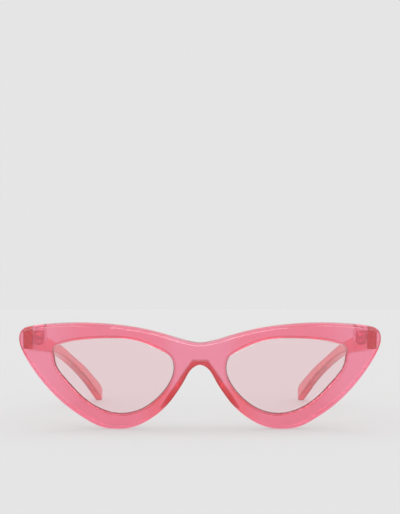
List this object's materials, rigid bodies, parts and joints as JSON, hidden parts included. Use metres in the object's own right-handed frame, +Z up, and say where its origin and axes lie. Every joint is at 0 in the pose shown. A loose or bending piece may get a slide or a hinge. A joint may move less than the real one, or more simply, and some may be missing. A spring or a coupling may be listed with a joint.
{
  "type": "cat eye sunglasses",
  "caption": "Translucent cat eye sunglasses with flared outer corners, tinted lenses, moulded nose rests and slim arms that fold on hinges.",
  "frame": {"origin": "middle of the box that the open glasses fill, at its base: the floor they stand on", "axes": "+Z up, -Y out through the front of the lenses, +X towards the wearer's left; the arms run back along +Y"},
  "size_m": [0.1462, 0.1538, 0.0427],
  "materials": {
    "front_plastic": "polished translucent pink",
    "arm_plastic": "polished translucent pink",
    "lens_tint": "polished pale pink tint",
    "hinge_metal": "satin nickel",
    "screw_steel": "bright",
    "peg_metal": "satin nickel"
  },
  "bodies": {
    "front": {"frame_front": "front_plastic", "lens_left": "lens_tint", "lens_right": "lens_tint", "front_hinge_leaf_left": "hinge_metal", "front_hinge_leaf_right": "hinge_metal", "hinge_screw_left": "screw_steel", "hinge_screw_right": "screw_steel", "front_hinge_rivets_left": "peg_metal", "front_hinge_rivets_right": "peg_metal"},
    "arm_left": {"temple_left": "arm_plastic", "temple_hinge_leaf_left": "hinge_metal", "temple_hinge_rivets_left": "peg_metal"},
    "arm_right": {"temple_right": "arm_plastic", "temple_hinge_leaf_right": "hinge_metal", "temple_hinge_rivets_right": "peg_metal"}
  },
  "joints": [
    {"name": "arm_fold_left", "type": "hinge", "parent": "front", "child": "arm_left", "pos_m": [0.06538, -0.06346, 0.03682], "axis": [0, -0.1045, 0.9945], "range_deg": [0, 88]},
    {"name": "arm_fold_right", "type": "hinge", "parent": "front", "child": "arm_right", "pos_m": [-0.06538, -0.06346, 0.03682], "axis": [0, 0.1045, -0.9945], "range_deg": [0, 83]}
  ]
}
